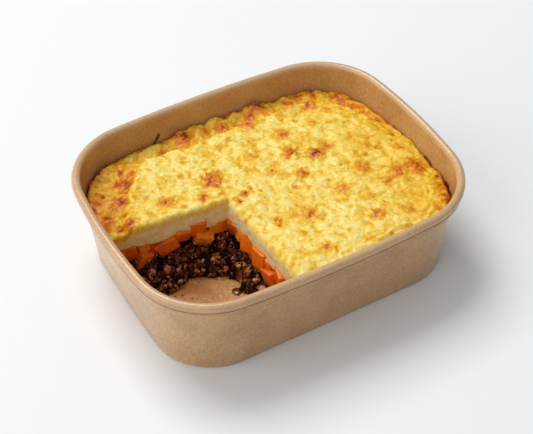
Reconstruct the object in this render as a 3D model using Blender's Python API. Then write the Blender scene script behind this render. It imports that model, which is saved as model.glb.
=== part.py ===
"""A shepherd's pie in its paperboard tray, with one corner portion already taken out.

Frame: metres, +Z up. The origin is on the ground under the middle of the tray. +X runs along
the tray's long side and +Y towards its back. The missing portion lay in the -X, -Y corner.

The food is three layers that show at the two cut faces: minced meat on the tray's floor,
diced carrot on the mince, and mashed potato on top. The tray is a drawn-in board wall with a
rolled rim and a folded hem, and a base panel whose flange hangs inside that hem.
"""
import math

import bmesh
import bpy
from mathutils import Vector, noise

MM = 0.001

# Tray. Each size is given for the wall's outer face: length, width, corner radius, and how far
# the long and the short sides bow out beyond a straight line.
TRAY_FOOT = (152.5 * MM, 115.5 * MM, 29.5 * MM, 0.3 * MM, 2.0 * MM)
TRAY_MOUTH = (162.4 * MM, 127.4 * MM, 34.2 * MM, 4.6 * MM, 6.7 * MM)
MOUTH_HEIGHT = 43.5 * MM
TRAY_HEIGHT = 49.0 * MM
BOARD = 0.6 * MM
FIT_GAP = 0.3 * MM
SIDE_STEPS = 3
END_STEPS = 2
CORNER_STEPS = 8

# Rolled rim: a round bead on top with a smaller lobe pressed into it from below.
BEAD_RADIUS = 2.1 * MM
BEAD_OUT = 1.7 * MM
BEAD_END = math.radians(236)
BEAD_STEPS = 8
LOBE_RADIUS = 1.2 * MM
LOBE_OUT = 1.6 * MM
LOBE_HEIGHT = 44.0 * MM
LOBE_START = math.radians(140)
LOBE_END = math.radians(265)
LOBE_STEPS = 3
ROLL_RETURN = 42.6 * MM

# Foot: the wall turns in under the tray and up again, and the base panel hangs in that fold.
FLOOR_TOP = 4.6 * MM
HEM_CHAMFER = 0.4 * MM

# Food. Heights are above the ground.
MINCE_TOP = 16.0 * MM
CARROT_TOP = 24.9 * MM
CARROT_WALL_RISE = 3.0 * MM
MASH_CROWN = 38.0 * MM
LAYER_GAP = 0.3 * MM

# Mash surface: it sinks towards the wall, and along the back a lower ledge runs beside the dome.
EDGE_DROP = 2.6 * MM
EDGE_REACH = 7.0 * MM
LEDGE_WIDTH = 13.5 * MM
LEDGE_DROP = 3.6 * MM
LEDGE_BLEND = 2.5 * MM
LEDGE_LEFT_END = -48.0 * MM
LEDGE_FRONT_END = 27.0 * MM
LEDGE_FADE = 6.0 * MM
SWELL_HEIGHT = 1.1 * MM
SWELL_LENGTH = 15.0 * MM
LAYER_SWELL_HEIGHT = 2.4 * MM

# The cut: two nearly upright faces that meet at an inner corner.
CUT_CORNER = Vector((-20.5 * MM, 2.5 * MM))
BACK_FACE_SLOPE = 0.12
RIGHT_FACE_SLOPE = 0.07
CUT_REACH = 90.0 * MM
CARROT_PROUD = 0.8 * MM

# Mince that has slid out of the cut faces on to the tray's floor.
SPILL_TOP = 15.2 * MM
SPILL_BACK = 13.2 * MM
SPILL_WAVE = 2.4 * MM
SPILL_WAVE_LENGTH = 26.0 * MM
SPILL_WAVE_START = -57.0 * MM
SPILL_RIGHT = 9.0 * MM
SPILL_WALL_EXTRA = 4.0 * MM
SPILL_WALL_START = -56.0 * MM
SPILL_WALL_FADE = 16.0 * MM
SPILL_ROUNDNESS = 1.7
SPILL_LOWEST = -0.5
SPILL_OVERLAP = 4.0 * MM

# Spacing of the points on the food's surfaces.
TOP_PITCH = 4.6 * MM
LAYER_PITCH = 7.0 * MM
SPILL_PITCH = 3.4 * MM
BLOCK_DEPTH = 60.0 * MM
FIELD_LENGTH = 168.0 * MM
FIELD_WIDTH = 132.0 * MM


# ---------------------------------------------------------------- shared shapes

def arc(centre, radius, start, end, steps):
    """Points on an arc, first to last."""
    angles = [start + (end - start) * i / steps for i in range(steps + 1)]
    return [centre + radius * Vector((math.cos(a), math.sin(a))) for a in angles]


def smooth_step(value):
    """0 below 0, 1 above 1, and an S-curve between."""
    t = min(max(value, 0.0), 1.0)
    return t * t * (3.0 - 2.0 * t)


def tray_sizes(z):
    """Length, width, corner radius and the two bows of the wall's outer face at height z."""
    t = min(z / MOUTH_HEIGHT, 1.0)
    return [low + (high - low) * t for low, high in zip(TRAY_FOOT, TRAY_MOUTH)]


def bow_radius(half, bow):
    """Radius of the arc that rises by bow over the distance half."""
    return (half * half + bow * bow) / (2.0 * bow)


def tray_outline(z, inset):
    """The wall's outline at height z, moved inwards by inset: bowed sides and round corners."""
    length, width, corner, side_bow, end_bow = tray_sizes(z)
    side_radius = bow_radius(length / 2, side_bow) - inset
    end_radius = bow_radius(width / 2, end_bow) - inset
    corner -= inset
    side_centre = Vector((0.0, width / 2 - inset - side_radius))
    end_centre = Vector((length / 2 - inset - end_radius, 0.0))

    # The corner arc touches both bows from inside, so its centre lies where two circles cross.
    to_side = side_centre - end_centre
    reach = to_side.length
    from_end = end_radius - corner
    from_side = side_radius - corner
    along = (from_end ** 2 - from_side ** 2 + reach ** 2) / (2 * reach)
    across = math.sqrt(from_end ** 2 - along ** 2)
    middle = end_centre + to_side * (along / reach)
    normal = Vector((to_side.y, -to_side.x)) / reach
    corner_centre = max((middle + normal * across, middle - normal * across), key=sum)

    end_angle = math.atan2(*reversed(corner_centre - end_centre))
    side_angle = math.atan2(*reversed(corner_centre - side_centre))
    quarter = arc(end_centre, end_radius, 0.0, end_angle, END_STEPS)[:-1]
    quarter += arc(corner_centre, corner, end_angle, side_angle, CORNER_STEPS)[:-1]
    quarter += arc(side_centre, side_radius, side_angle, math.pi / 2, SIDE_STEPS)

    points = []
    for flip_x, flip_y in ((1, 1), (-1, 1), (-1, -1), (1, -1)):
        run = quarter if flip_x == flip_y else quarter[::-1]
        points += [Vector((flip_x * p.x, flip_y * p.y, z)) for p in run[:-1]]
    return points


def wall_distance(x, y, z):
    """How far a point in the tray is from the wall's inner face at height z, roughly."""
    length, width, corner, side_bow, end_bow = tray_sizes(z)
    half_x = length / 2 - BOARD - end_bow * (2 * y / width) ** 2
    half_y = width / 2 - BOARD - side_bow * (2 * x / length) ** 2
    over = Vector((abs(x) - half_x + corner, abs(y) - half_y + corner))
    outside = Vector((max(over.x, 0.0), max(over.y, 0.0))).length
    return corner - outside - min(max(over.x, over.y), 0.0)


def back_face(x):
    """Y of the back cut face at x."""
    return CUT_CORNER.y + BACK_FACE_SLOPE * (CUT_CORNER.x - x)


def right_face(y):
    """X of the right cut face at y."""
    return CUT_CORNER.x + RIGHT_FACE_SLOPE * (CUT_CORNER.y - y)


# ---------------------------------------------------------------- making objects

def new_object(name, bm):
    """Turn a bmesh into an object in the scene."""
    bmesh.ops.recalc_face_normals(bm, faces=bm.faces)
    mesh = bpy.data.meshes.new(name)
    bm.to_mesh(mesh)
    bm.free()
    obj = bpy.data.objects.new(name, mesh)
    bpy.context.scene.collection.objects.link(obj)
    return obj


def loft(name, rings, closed=False):
    """Skin a stack of rings. A closed stack runs on from its last ring to its first."""
    bm = bmesh.new()
    loops = []
    for ring in rings:
        verts = [bm.verts.new(point) for point in ring]
        loops.append([bm.edges.new(pair) for pair in zip(verts, verts[1:] + verts[:1])])
    followers = loops[1:] + loops[:1] if closed else loops[1:]
    for lower, upper in zip(loops, followers):
        bmesh.ops.bridge_loops(bm, edges=lower + upper)
    if not closed:
        bmesh.ops.contextual_create(bm, geom=loops[0])
        bmesh.ops.contextual_create(bm, geom=loops[-1])
    return new_object(name, bm)


def block(name, low, high, pitch, top):
    """A block over a rectangle, with its top surface at the height that top(x, y) gives."""
    size = Vector(high) - Vector(low)
    middle = (Vector(high) + Vector(low)) / 2
    bm = bmesh.new()
    bmesh.ops.create_grid(
        bm, x_segments=round(size.x / pitch), y_segments=round(size.y / pitch), size=0.5)
    bmesh.ops.scale(bm, vec=(size.x, size.y, 1.0), verts=bm.verts)
    bmesh.ops.translate(bm, vec=(middle.x, middle.y, 0.0), verts=bm.verts)
    surface = bm.verts[:]
    extruded = bmesh.ops.extrude_face_region(bm, geom=bm.faces[:])["geom"]
    lowered = [item for item in extruded if isinstance(item, bmesh.types.BMVert)]
    bmesh.ops.translate(bm, vec=(0.0, 0.0, -BLOCK_DEPTH), verts=lowered)
    for vert in surface:
        vert.co.z = top(vert.co.x, vert.co.y)
    bmesh.ops.triangulate(bm, faces=bm.faces[:])
    return new_object(name, bm)


def food_block(name, pitch, top):
    """A block that covers the whole tray."""
    half = Vector((FIELD_LENGTH / 2, FIELD_WIDTH / 2))
    return block(name, -half, half, pitch, top)


def as_guide(obj):
    """Mark an object as one that only cuts others."""
    obj.hide_render = True
    obj.display_type = "WIRE"
    return obj


def combine(obj, operation, guide):
    """Add an exact Boolean of obj with guide."""
    modifier = obj.modifiers.new(f"{operation.lower()} {guide.name}", "BOOLEAN")
    modifier.operation = operation
    modifier.solver = "EXACT"
    modifier.object = guide


def paint(obj, colour, roughness):
    """Give an object its own plain material."""
    material = bpy.data.materials.new(obj.name)
    material.use_nodes = True
    shader = material.node_tree.nodes["Principled BSDF"]
    shader.inputs["Base Color"].default_value = (*colour, 1.0)
    shader.inputs["Roughness"].default_value = roughness
    shader.inputs["Metallic"].default_value = 0.0
    obj.data.materials.append(material)


# ---------------------------------------------------------------- tray

def wall_profile():
    """Inset and height of the wall's cross-section, up the inside and down the outside."""
    bead = arc(Vector((-BEAD_OUT, TRAY_HEIGHT - BEAD_RADIUS)), BEAD_RADIUS, 0.0, BEAD_END, BEAD_STEPS)
    lobe = arc(Vector((-LOBE_OUT, LOBE_HEIGHT)), LOBE_RADIUS, LOBE_START, LOBE_END, LOBE_STEPS)
    fold_outer = 2 * (BOARD + FIT_GAP)
    fold_inner = fold_outer + BOARD
    fold_top = FLOOR_TOP - BOARD - FIT_GAP
    inside = [(BOARD, BOARD), (BOARD, MOUTH_HEIGHT)]
    foot = [
        (0.0, ROLL_RETURN),
        (0.0, HEM_CHAMFER),
        (HEM_CHAMFER, 0.0),
        (fold_inner - HEM_CHAMFER, 0.0),
        (fold_inner, HEM_CHAMFER),
        (fold_inner, fold_top),
        (fold_outer, fold_top),
        (fold_outer, BOARD),
    ]
    return inside + [tuple(p) for p in bead + lobe] + foot


def make_tray_wall():
    """The wall, its rolled rim and its folded hem: one cross-section swept round the tray."""
    levels = [tray_outline(z, inset) for inset, z in wall_profile()]
    wall = loft("tray_wall", list(zip(*levels)), closed=True)
    wall.data.shade_smooth()
    wall.data.set_sharp_from_angle(angle=math.radians(40))
    paint(wall, (0.46, 0.28, 0.14), 0.75)


def make_tray_base():
    """The flat base panel with its flange turned down into the hem."""
    outer = BOARD + FIT_GAP
    inner = outer + BOARD
    underside = FLOOR_TOP - BOARD
    flange_foot = BOARD + FIT_GAP
    profile = [
        (inner, underside),
        (inner, flange_foot),
        (outer, flange_foot),
        (outer, underside),
        (outer + BOARD / 2, FLOOR_TOP),
    ]
    base = loft("tray_base", [tray_outline(z, inset) for inset, z in profile])
    paint(base, (0.42, 0.22, 0.09), 0.6)


# ---------------------------------------------------------------- food surfaces

def swell(x, y, seed):
    """Gentle unevenness between -1 and 1."""
    return noise.noise(Vector((x / SWELL_LENGTH, y / SWELL_LENGTH, seed)))


def mash_top(x, y):
    """Height of the mash: a low dome that sinks at the wall, with a ledge along the back."""
    distance = wall_distance(x, y, MASH_CROWN)
    ledge = smooth_step((LEDGE_WIDTH - distance) / LEDGE_BLEND)
    ledge *= smooth_step((y - LEDGE_FRONT_END) / LEDGE_FADE)
    ledge *= smooth_step((x - LEDGE_LEFT_END) / LEDGE_FADE)
    edge = math.exp(-(max(distance, 0.0) / EDGE_REACH) ** 2) * (1.0 - ledge)
    return MASH_CROWN - EDGE_DROP * edge - LEDGE_DROP * ledge + SWELL_HEIGHT * swell(x, y, 1.0)


def carrot_top(x, y):
    """Height of the carrot layer, which the mash has pushed up a little at the wall."""
    distance = wall_distance(x, y, CARROT_TOP)
    rise = math.exp(-max(distance, 0.0) / (2 * EDGE_REACH))
    return CARROT_TOP + CARROT_WALL_RISE * rise + LAYER_SWELL_HEIGHT * swell(x, y, 5.0)


def mince_top(x, y):
    """Height of the mince layer."""
    return MINCE_TOP + LAYER_SWELL_HEIGHT * swell(x, y, 9.0)


def spill_height(x, y):
    """Height of the mince that slid out: it runs down to the floor from both cut faces."""
    turns = (x - SPILL_WAVE_START) / SPILL_WAVE_LENGTH
    wave = SPILL_WAVE * math.cos(2 * math.pi * turns)
    near_wall = smooth_step((SPILL_WALL_START - x) / SPILL_WALL_FADE)
    back_reach = SPILL_BACK + wave + SPILL_WALL_EXTRA * near_wall
    back = (back_face(x) - y) / back_reach
    right = (right_face(y) - x) / SPILL_RIGHT
    drop = SPILL_TOP - FLOOR_TOP
    rises = [1.0 - max(step, 0.0) ** SPILL_ROUNDNESS for step in (back, right)]
    return FLOOR_TOP + drop * max(*rises, SPILL_LOWEST)


# ---------------------------------------------------------------- food

def cut_prism(name, proud):
    """The portion that was taken out, as an upright prism; proud leaves the layer longer."""
    corner = CUT_CORNER - Vector((proud, proud))
    left = Vector((-CUT_REACH, corner.y + BACK_FACE_SLOPE * (CUT_REACH + corner.x)))
    front = Vector((corner.x + RIGHT_FACE_SLOPE * (CUT_REACH + corner.y), -CUT_REACH))
    outer = Vector((-CUT_REACH, -CUT_REACH))
    rings = [[p.to_3d() + Vector((0, 0, z)) for p in (corner, left, outer, front)]
             for z in (-BLOCK_DEPTH, BLOCK_DEPTH)]
    return as_guide(loft(name, rings))


def make_food():
    """Cut the three layers out of the space inside the tray."""
    inset = BOARD + FIT_GAP
    inside = as_guide(loft("tray_inside", [
        tray_outline(z, inset) for z in (FLOOR_TOP + FIT_GAP, MOUTH_HEIGHT)]))
    portion = cut_prism("portion", 0.0)
    carrot_portion = cut_prism("carrot_portion", CARROT_PROUD)

    mash = food_block("mash_layer", TOP_PITCH, mash_top)
    under_mash = as_guide(food_block(
        "under_mash", LAYER_PITCH, lambda x, y: carrot_top(x, y) + LAYER_GAP))
    combine(mash, "DIFFERENCE", under_mash)
    combine(mash, "INTERSECT", inside)
    combine(mash, "DIFFERENCE", portion)
    paint(mash, (0.86, 0.66, 0.27), 0.6)

    carrot = food_block("carrot_layer", LAYER_PITCH, carrot_top)
    under_carrot = as_guide(food_block(
        "under_carrot", LAYER_PITCH, lambda x, y: mince_top(x, y) + LAYER_GAP))
    combine(carrot, "DIFFERENCE", under_carrot)
    combine(carrot, "INTERSECT", inside)
    combine(carrot, "DIFFERENCE", carrot_portion)
    paint(carrot, (0.76, 0.17, 0.02), 0.45)

    mince = food_block("mince_layer", LAYER_PITCH, mince_top)
    spill_far = CUT_CORNER + Vector((SPILL_OVERLAP, SPILL_OVERLAP))
    spill_near = Vector((-FIELD_LENGTH / 2, -FIELD_WIDTH / 2))
    spill = as_guide(block("spill", spill_near, spill_far, SPILL_PITCH, spill_height))
    combine(mince, "DIFFERENCE", portion)
    combine(mince, "UNION", spill)
    combine(mince, "INTERSECT", inside)
    paint(mince, (0.07, 0.03, 0.015), 0.4)


def main():
    for obj in list(bpy.data.objects):
        bpy.data.objects.remove(obj)
    make_tray_wall()
    make_tray_base()
    make_food()


main()
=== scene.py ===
"""The looks of a shepherd's pie in a kraft board tray, with one corner portion taken out.

Pieces are modelled in millimetres in the frame's own axes and scaled to metres when they become
objects. The tray's outline is the same everywhere: four bowed sides joined by round corners. A
place along it is a turn from 0 to 4, one unit for each quarter, counted from the middle of the
+X end towards +Y.
"""
import functools
import math
import random

import bmesh
import bpy
from mathutils import Euler, Matrix, Vector, kdtree, noise


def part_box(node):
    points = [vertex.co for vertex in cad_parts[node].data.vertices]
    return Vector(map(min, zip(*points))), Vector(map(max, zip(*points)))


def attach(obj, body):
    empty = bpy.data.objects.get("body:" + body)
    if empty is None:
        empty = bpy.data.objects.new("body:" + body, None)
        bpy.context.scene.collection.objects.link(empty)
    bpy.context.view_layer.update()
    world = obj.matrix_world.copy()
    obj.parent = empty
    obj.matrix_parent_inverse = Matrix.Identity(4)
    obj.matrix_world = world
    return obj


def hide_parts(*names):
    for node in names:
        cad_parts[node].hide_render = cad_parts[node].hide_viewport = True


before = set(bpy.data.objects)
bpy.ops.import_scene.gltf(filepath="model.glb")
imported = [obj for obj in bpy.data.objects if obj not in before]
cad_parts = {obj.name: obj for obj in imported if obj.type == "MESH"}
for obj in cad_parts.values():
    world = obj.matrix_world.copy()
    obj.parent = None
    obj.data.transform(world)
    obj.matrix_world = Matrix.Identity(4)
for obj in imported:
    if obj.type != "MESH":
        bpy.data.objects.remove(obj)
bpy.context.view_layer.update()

MM = 0.001
TRAY_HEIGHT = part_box("tray_wall")[1].z / MM
FLOOR_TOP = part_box("tray_base")[1].z / MM

# Tray, in millimetres: length, width, corner radius and the bows of the long and short sides.
TRAY_FOOT = (152.5, 115.5, 29.5, 0.3, 2.0)
TRAY_MOUTH = (162.4, 127.4, 34.2, 4.6, 6.7)
MOUTH_HEIGHT = 43.5
BOARD = 0.6
FIT_GAP = 0.3
END_SHARE = 0.225
CORNER_SHARE = 0.411
CORNER_MIDDLE = END_SHARE + CORNER_SHARE / 2

# Food heights and the two cut faces, in millimetres.
MINCE_TOP = 16.0
CARROT_TOP = 24.9
CARROT_WALL_RISE = 3.0
MASH_CROWN = 37.6
CUT_X = -20.5
CUT_Y = 2.5
BACK_FACE_SLOPE = 0.12
RIGHT_FACE_SLOPE = 0.07


# ------------ small helpers

def smooth_step(value):
    """0 below 0, 1 above 1, and an S-curve between."""
    t = min(max(value, 0.0), 1.0)
    return t * t * (3.0 - 2.0 * t)


def mix(a, b, share):
    """A value share of the way from a to b."""
    return a + (b - a) * share


def grain(x, y, size, seed):
    """Smooth noise from -1 to 1 with features of the given size."""
    return noise.noise(Vector((x / size, y / size, seed)))


def grain_3d(point, size, seed):
    """The same for a point in space."""
    return noise.noise(point / size + Vector((seed, -seed, seed)))


def colour(red, green, blue):
    """A display colour from 0 to 255 as the linear colour that a shader wants."""
    def linear(channel):
        c = channel / 255
        return c / 12.92 if c <= 0.04045 else ((c + 0.055) / 1.055) ** 2.4
    return (linear(red), linear(green), linear(blue), 1.0)


# ------------ the tray's outline

def tray_sizes(z):
    """Length, width, corner radius and the two bows of the wall's outer face at height z."""
    t = min(z / MOUTH_HEIGHT, 1.0)
    return [mix(low, high, t) for low, high in zip(TRAY_FOOT, TRAY_MOUTH)]


def bow_radius(half, bow):
    """Radius of the arc that rises by bow over the distance half."""
    return (half * half + bow * bow) / (2.0 * bow)


@functools.lru_cache(maxsize=None)
def quarter_arcs(z):
    """End, corner and side arcs of the +X +Y quarter: centre, radius, first and last angle."""
    length, width, corner, side_bow, end_bow = tray_sizes(z)
    side_radius = bow_radius(length / 2, side_bow)
    end_radius = bow_radius(width / 2, end_bow)
    side_centre = Vector((0.0, width / 2 - side_radius))
    end_centre = Vector((length / 2 - end_radius, 0.0))
    to_side = side_centre - end_centre
    reach = to_side.length
    from_end = end_radius - corner
    from_side = side_radius - corner
    along = (from_end ** 2 - from_side ** 2 + reach ** 2) / (2 * reach)
    across = math.sqrt(from_end ** 2 - along ** 2)
    middle = end_centre + to_side * (along / reach)
    normal = Vector((to_side.y, -to_side.x)) / reach
    centre = max((middle + normal * across, middle - normal * across), key=sum)
    end_angle = math.atan2(*reversed(centre - end_centre))
    side_angle = math.atan2(*reversed(centre - side_centre))
    return (
        (END_SHARE, end_centre, end_radius, 0.0, end_angle),
        (CORNER_SHARE, centre, corner, end_angle, side_angle),
        (1 - END_SHARE - CORNER_SHARE, side_centre, side_radius, side_angle, math.pi / 2),
    )


def outline(turn, z, inset):
    """Point on the wall's outline and the outward direction there."""
    quarter, share = divmod(turn % 4.0, 1.0)
    quarter = int(quarter)
    if quarter % 2:
        share = 1.0 - share
    for part, centre, radius, start, end in quarter_arcs(round(z, 1)):
        if share <= part:
            break
        share -= part
    angle = mix(start, end, min(share / part, 1.0))
    out = Vector((math.cos(angle), math.sin(angle)))
    point = centre + out * (radius - inset)
    flip = Vector((-1 if quarter in (1, 2) else 1, -1 if quarter in (2, 3) else 1))
    return Vector((point.x * flip.x, point.y * flip.y, z)), Vector((out.x * flip.x, out.y * flip.y, 0))


def back_face(x):
    """Y of the back cut face at x."""
    return CUT_Y + BACK_FACE_SLOPE * (CUT_X - x)


def right_face(y):
    """X of the right cut face at y."""
    return CUT_X + RIGHT_FACE_SLOPE * (CUT_Y - y)


def in_portion(x, y, margin=0.0):
    """True where the portion was taken out."""
    return y < back_face(x) - margin and x < right_face(y) - margin


# ------------ materials

# How far red, green and blue light travel inside food, as shares of a finish's glow_mm.
GLOW_TINT = (1.0, 0.6, 0.2)


class Finish:
    """A node material under construction."""

    def __init__(self, name, roughness, specular=0.5, coat=0.0, coat_roughness=0.1, glow=0.0, glow_mm=2.0):
        self.material = bpy.data.materials.new(name)
        self.material.use_nodes = True
        self.tree = self.material.node_tree
        self.shader = self.tree.nodes["Principled BSDF"]
        for socket, value in (
            ("Roughness", roughness),
            ("Specular IOR Level", specular),
            ("Coat Weight", coat),
            ("Coat Roughness", coat_roughness),
            ("Subsurface Weight", glow),
            ("Subsurface Scale", glow_mm * MM),
            ("Subsurface Radius", GLOW_TINT),
        ):
            self.shader.inputs[socket].default_value = value
        self.place = self.node("ShaderNodeTexCoord").outputs["Object"]

    def node(self, kind, **settings):
        """Add a node and set its properties."""
        made = self.tree.nodes.new(kind)
        for key, value in settings.items():
            setattr(made, key, value)
        return made

    def link(self, source, target):
        """Feed a socket from another, or set it to a constant."""
        if hasattr(source, "links"):
            self.tree.links.new(source, target)
        else:
            target.default_value = source

    def stretch(self, scale):
        """Object coordinates scaled differently along the three axes."""
        mapping = self.node("ShaderNodeMapping")
        self.link(self.place, mapping.inputs["Vector"])
        mapping.inputs["Scale"].default_value = scale
        return mapping.outputs["Vector"]

    def noise(self, size_mm, detail=2.0, roughness=0.5, distortion=0.0, place=None):
        """Noise from 0 to 1 with features of about size_mm."""
        made = self.node("ShaderNodeTexNoise")
        self.link(place or self.place, made.inputs["Vector"])
        made.inputs["Scale"].default_value = 1.0 / (size_mm * MM)
        made.inputs["Detail"].default_value = detail
        made.inputs["Roughness"].default_value = roughness
        made.inputs["Distortion"].default_value = distortion
        return made.outputs["Fac"]

    def cells(self, size_mm):
        """Distance within irregular cells of about size_mm."""
        made = self.node("ShaderNodeTexVoronoi")
        self.link(self.place, made.inputs["Vector"])
        made.inputs["Scale"].default_value = 1.0 / (size_mm * MM)
        return made.outputs["Distance"]

    def attribute(self, name):
        """A value that the mesh carries on its vertices."""
        return self.node("ShaderNodeAttribute", attribute_name=name).outputs["Fac"]

    def maths(self, operation, a, b=0.0, clamp=False):
        """Result of one operation on two sockets or constants."""
        made = self.node("ShaderNodeMath", operation=operation, use_clamp=clamp)
        self.link(a, made.inputs[0])
        self.link(b, made.inputs[1])
        return made.outputs[0]

    def spread(self, value, low, high, to_low=0.0, to_high=1.0):
        """Map low..high to to_low..to_high, clamped."""
        made = self.node("ShaderNodeMapRange", clamp=True)
        for socket, number in zip(made.inputs[1:5], (low, high, to_low, to_high)):
            socket.default_value = number
        self.link(value, made.inputs[0])
        return made.outputs[0]

    def blend(self, share, a, b):
        """Colour a share of the way from a to b."""
        made = self.node("ShaderNodeMix", data_type="RGBA")
        self.link(share, made.inputs[0])
        self.link(a, made.inputs[6])
        self.link(b, made.inputs[7])
        return made.outputs[2]

    def ramp(self, value, stops):
        """Colour read off stops, each given as (position, colour)."""
        made = self.node("ShaderNodeValToRGB")
        elements = made.color_ramp.elements
        while len(elements) < len(stops):
            elements.new(0.5)
        for element, (position, tint) in zip(elements, stops):
            element.position = position
            element.color = tint
        self.link(value, made.inputs[0])
        return made.outputs[0]

    def bump(self, *layers):
        """Stack bumps, each given as (height, depth in millimetres)."""
        normal = None
        for height, depth in layers:
            made = self.node("ShaderNodeBump")
            made.inputs["Strength"].default_value = 1.0
            made.inputs["Distance"].default_value = depth * MM
            self.link(height, made.inputs["Height"])
            if normal is not None:
                self.link(normal, made.inputs["Normal"])
            normal = made.outputs["Normal"]
        self.link(normal, self.shader.inputs["Normal"])

    def finish(self, base, roughness=None):
        """Set the colour, and the roughness where it varies, and hand the material over."""
        self.link(base, self.shader.inputs["Base Color"])
        if roughness is not None:
            self.link(roughness, self.shader.inputs["Roughness"])
        return self.material


def kraft_base(paint, light, middle, dark):
    """Brown board with faint clouds, short fibres and small dark flecks."""
    cloud = paint.noise(14.0, detail=2.0)
    fibre = paint.noise(0.8, detail=3.0, roughness=0.6, place=paint.stretch((1.0, 0.5, 0.6)))
    mixed = paint.maths("ADD", paint.maths("MULTIPLY", cloud, 0.35), paint.maths("MULTIPLY", fibre, 0.65))
    base = paint.ramp(mixed, [(0.34, dark), (0.5, middle), (0.68, light)])
    fleck = paint.spread(paint.noise(0.6, detail=1.0), 0.66, 0.74)
    base = paint.blend(paint.maths("MULTIPLY", fleck, 0.45), base, colour(122, 80, 44))
    return base, fibre


def kraft_outside():
    """Dry brown board, with a painted highlight that makes the top of the rim paler."""
    paint = Finish("kraft_board", 0.5, specular=0.4, coat=0.95, coat_roughness=0.22)
    base, fibre = kraft_base(paint, colour(212, 166, 111), colour(194, 148, 94), colour(174, 127, 75))
    height = paint.node("ShaderNodeSeparateXYZ")
    paint.link(paint.place, height.inputs[0])
    # Painted highlight: the board is blended towards pale cream at the top of the rim, where the bead catches
    # the light.
    rim_highlight = paint.spread(height.outputs["Z"], 45.2 * MM, 48.2 * MM, 0.0, 0.3)
    base = paint.blend(rim_highlight, base, colour(232, 202, 166))
    paint.bump((paint.noise(7.0), 0.1), (fibre, 0.03))
    return paint.finish(base)


def kraft_floor():
    """The tray's inner floor, stained and flecked by grease near the food."""
    paint = Finish("greasy_board", 0.45, specular=0.5)
    base, fibre = kraft_base(paint, colour(226, 172, 106), colour(212, 156, 88), colour(190, 132, 68))
    stain = paint.spread(paint.noise(11.0, detail=4.0, roughness=0.6), 0.46, 0.62)
    base = paint.blend(paint.maths("MULTIPLY", stain, 0.6), base, colour(170, 106, 48))
    specks = paint.spread(paint.noise(1.4, detail=2.0), 0.66, 0.72)
    base = paint.blend(paint.maths("MULTIPLY", specks, 0.8), base, colour(122, 58, 20))
    paint.bump((paint.noise(6.0), 0.15), (fibre, 0.03))
    return paint.finish(base, paint.spread(stain, 0.0, 1.0, 0.5, 0.28))


def mash_finish():
    """Creamy potato whose skin runs from cream through gold to dark brown as toast_and_shade rises; that
    value holds browning and painted shade.

    Its depth attribute tells, in millimetres, how far below the skin a place on a cut face lies.
    """
    paint = Finish("mashed_potato", 0.45, specular=0.28, coat=0.1, coat_roughness=0.16, glow=0.3, glow_mm=5.0)
    smudge = paint.noise(4.2, detail=4.0, roughness=0.6, distortion=0.7)
    curd = paint.noise(1.5, detail=3.0, roughness=0.62)
    toast_and_shade = paint.maths("ADD", paint.attribute("toast_and_shade"), paint.spread(smudge, 0.5, 0.68, 0.0, 0.13))
    toast_and_shade = paint.maths("ADD", toast_and_shade, paint.spread(curd, 0.32, 0.7, -0.06, 0.08), clamp=True)
    skin = paint.ramp(toast_and_shade, [
        (0.0, colour(253, 233, 148)),
        (0.14, colour(249, 216, 100)),
        (0.28, colour(240, 194, 52)),
        (0.42, colour(230, 172, 28)),
        (0.56, colour(226, 142, 22)),
        (0.70, colour(208, 106, 16)),
        (0.85, colour(168, 74, 14)),
        (1.0, colour(82, 34, 10)),
    ])
    inside = paint.ramp(paint.noise(2.6, detail=3.0), [
        (0.3, colour(249, 219, 150)), (0.7, colour(255, 238, 184))])
    ragged = paint.maths("ADD", paint.attribute("depth"), paint.spread(smudge, 0.3, 0.7, -1.2, 1.2))
    base = paint.blend(paint.spread(ragged, 1.7, 5.0), skin, inside)
    paint.bump((smudge, -0.3), (curd, 0.36))
    return paint.finish(base, paint.spread(toast_and_shade, 0.2, 0.9, 0.42, 0.3))


def carrot_finish():
    """Cooked carrot, orange with paler streaks and a wet surface."""
    paint = Finish("cooked_carrot", 0.36, specular=0.4, coat=0.14, coat_roughness=0.16, glow=0.1)
    streak = paint.noise(1.6, detail=3.0, place=paint.stretch((1.0, 1.0, 0.35)))
    tone = paint.maths("ADD", paint.maths("MULTIPLY", streak, 0.6),
                       paint.maths("MULTIPLY", paint.attribute("tone"), 0.4))
    base = paint.ramp(tone, [
        (0.2, colour(218, 88, 8)), (0.5, colour(244, 120, 14)), (0.8, colour(254, 162, 42))])
    gravy = paint.spread(paint.noise(3.0, detail=4.0), 0.5, 0.68)
    base = paint.blend(paint.maths("MULTIPLY", gravy, 0.36), base, colour(138, 44, 8))
    paint.bump((paint.noise(1.2, detail=2.0), 0.12))
    return paint.finish(base)


def mince_finish(name, coat, dark, middle, light):
    """Cooked mince glazed with gravy; tone sets how dark each crumb is, and carries painted light on raised
    lumps and painted shade in the gaps.
    """
    paint = Finish(name, 0.5, specular=0.12, coat=coat, coat_roughness=0.12)
    patch = paint.noise(1.5, detail=4.0, roughness=0.65)
    tone = paint.maths("ADD", paint.maths("MULTIPLY", paint.attribute("tone"), 0.55),
                       paint.maths("MULTIPLY", patch, 0.45))
    base = paint.ramp(tone, [(0.25, dark), (0.55, middle), (0.85, light)])
    paint.bump((paint.noise(0.9, detail=3.0, roughness=0.6), 0.3), (paint.cells(0.8), 0.12))
    return paint.finish(base)


def herb_finish():
    """Dried green herb."""
    paint = Finish("herb_flake", 0.6)
    base = paint.ramp(paint.noise(0.8), [(0.35, colour(104, 106, 40)), (0.65, colour(146, 140, 70))])
    paint.bump((paint.noise(0.3), 0.05))
    return paint.finish(base)


def burnt_finish():
    """Sauce that boiled up and burnt onto the wall."""
    paint = Finish("burnt_sauce", 0.35, coat=0.3, coat_roughness=0.2)
    base = paint.ramp(paint.noise(1.6, detail=4.0), [
        (0.3, colour(64, 28, 14)), (0.5, colour(112, 56, 22)), (0.72, colour(164, 98, 42))])
    paint.bump((paint.noise(0.7, detail=2.0), 0.2))
    return paint.finish(base)


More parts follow.
